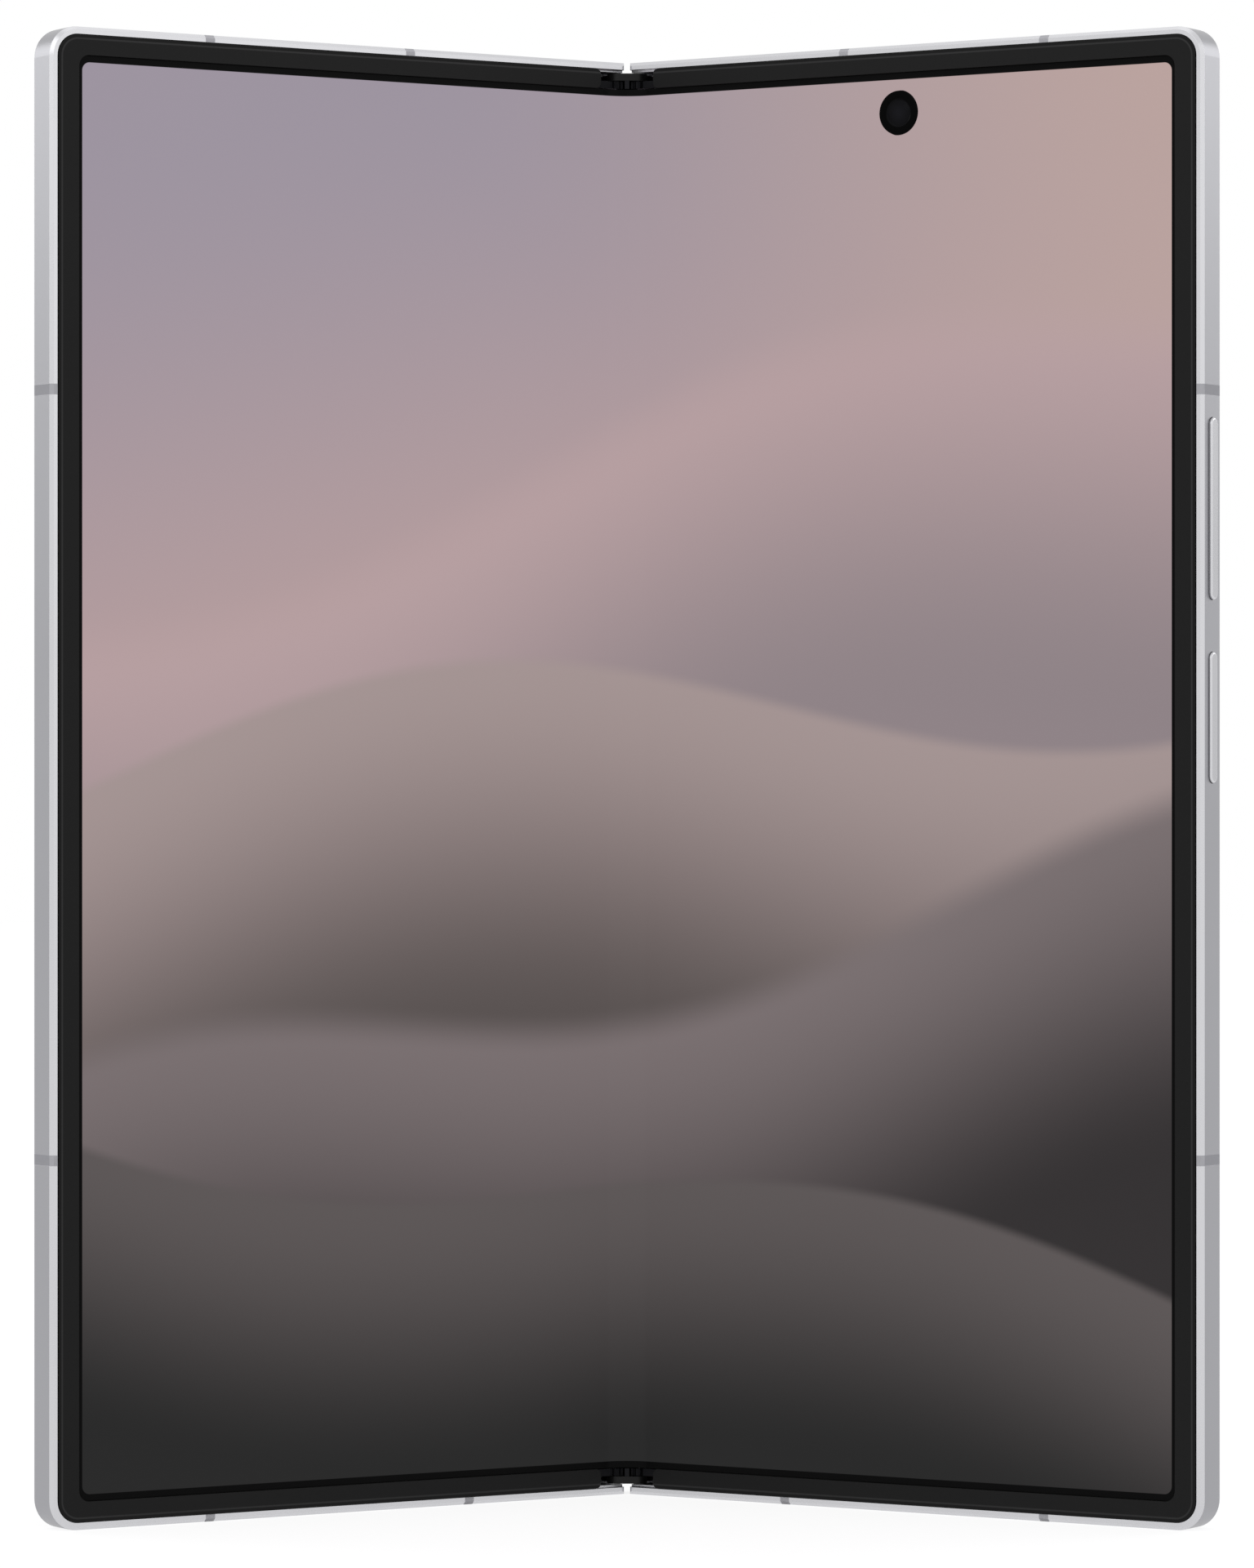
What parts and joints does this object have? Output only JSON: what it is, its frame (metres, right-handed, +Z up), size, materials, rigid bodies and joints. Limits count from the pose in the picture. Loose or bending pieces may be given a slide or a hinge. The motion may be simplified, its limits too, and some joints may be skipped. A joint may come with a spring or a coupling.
{
  "type": "foldable smartphone",
  "caption": "Book-style foldable phone standing half open, with a bendable inner screen, metal frames, a geared spine hinge, side keys, rear camera island and a card tray.",
  "frame": {"origin": "on the surface the phone stands on, at the fold line from side to side and midway between front and back, standing half open", "axes": "+Z up along the fold, +X to the right half, the inner screen faces -Y"},
  "size_m": [0.1252, 0.041, 0.1584],
  "materials": {
    "frame_metal": "satin",
    "antenna_plastic": "matte",
    "bezel_black": "matte",
    "screen_film": "gloss",
    "back_glass": "etched glass",
    "dark_glass": "gloss",
    "inner_steel": "brushed",
    "inner_plastic": "matte",
    "battery_pouch": "satin",
    "board": "satin",
    "copper": "enamelled wire",
    "flash_plastic": "clear"
  },
  "bodies": {
    "spine": {"spine_cover": "frame_metal", "spine_bar": "inner_steel", "hinge_pins": "inner_steel", "hinge_end_caps": "bezel_black", "hinge_pin_blocks": "inner_steel", "hinge_rail_blocks": "inner_steel", "fold_screen": "screen_film"},
    "left_idler": {"left_idler_gears": "copper"},
    "right_idler": {"right_idler_gears": "copper"},
    "left_half": {"left_frame": "frame_metal", "left_antenna_breaks": "antenna_plastic", "left_mid_plate": "inner_steel", "left_bezel": "bezel_black", "left_screen": "screen_film", "cover_glass": "dark_glass", "cover_display": "inner_plastic", "cover_camera": "inner_plastic", "left_hinge_arms": "inner_steel", "left_arm_screws": "inner_steel", "left_rail_arms": "inner_steel", "left_battery": "battery_pouch", "left_board": "board", "left_shields": "inner_steel", "earpiece_speaker": "inner_plastic", "card_reader": "inner_steel"},
    "right_half": {"right_frame": "frame_metal", "right_antenna_breaks": "antenna_plastic", "right_mid_plate": "inner_steel", "right_bezel": "bezel_black", "right_screen": "screen_film", "right_back_glass": "back_glass", "right_hinge_arms": "inner_steel", "right_arm_screws": "inner_steel", "right_rail_arms": "inner_steel", "right_battery": "battery_pouch", "main_board": "board", "board_shields": "inner_steel", "usb_port": "inner_steel", "bottom_board": "board", "bottom_speaker": "inner_plastic", "vibration_motor": "inner_steel", "charging_coil": "copper", "inner_camera": "inner_plastic", "inner_camera_window": "dark_glass", "camera_island": "frame_metal", "rear_camera_modules": "inner_plastic", "lens_rings": "frame_metal", "rear_lenses": "dark_glass", "flash_lens": "flash_plastic", "key_flex": "copper"},
    "volume_key": {"volume_key": "frame_metal"},
    "side_key": {"side_key": "frame_metal"},
    "card_tray": {"card_tray": "frame_metal"}
  },
  "joints": [
    {"name": "left_hinge", "type": "hinge", "parent": "spine", "child": "left_half", "pos_m": [-0.0012, 0.01731, 0.0792], "axis": [0, 0, 1], "range_deg": [-31.8, 58.2], "deforming": ["fold_screen"]},
    {"name": "right_hinge", "type": "hinge", "parent": "spine", "child": "right_half", "pos_m": [0.0012, 0.01731, 0.0792], "axis": [0, 0, 1], "range_deg": [-58.2, 31.8], "deforming": ["fold_screen"]},
    {"name": "volume_key_press", "type": "slide", "parent": "right_half", "child": "volume_key", "axis": [-0.8499, 0.527, 0], "range_m": [0, 0.00025], "stiffness_N_per_m": 1500},
    {"name": "side_key_press", "type": "slide", "parent": "right_half", "child": "side_key", "axis": [-0.8499, 0.527, 0], "range_m": [0, 0.00025], "stiffness_N_per_m": 1500},
    {"name": "card_tray_slide", "type": "slide", "parent": "left_half", "child": "card_tray", "axis": [0, 0, 1], "range_m": [0, 0.02]},
    {"name": "left_idler_spin", "type": "hinge", "parent": "spine", "child": "left_idler", "pos_m": [-0.0006, 0.01846, 0.0792], "axis": [0, 0, 1], "range_deg": [-67.9, 37.1]},
    {"name": "right_idler_spin", "type": "hinge", "parent": "spine", "child": "right_idler", "pos_m": [0.0006, 0.01846, 0.0792], "axis": [0, 0, 1], "range_deg": [-37.1, 67.9]}
  ],
  "couplings": [
    {"joint": "right_hinge", "follows": "left_hinge", "ratio": -1},
    {"joint": "left_idler_spin", "follows": "left_hinge", "ratio": -1.1667},
    {"joint": "right_idler_spin", "follows": "left_hinge", "ratio": 1.1667}
  ]
}
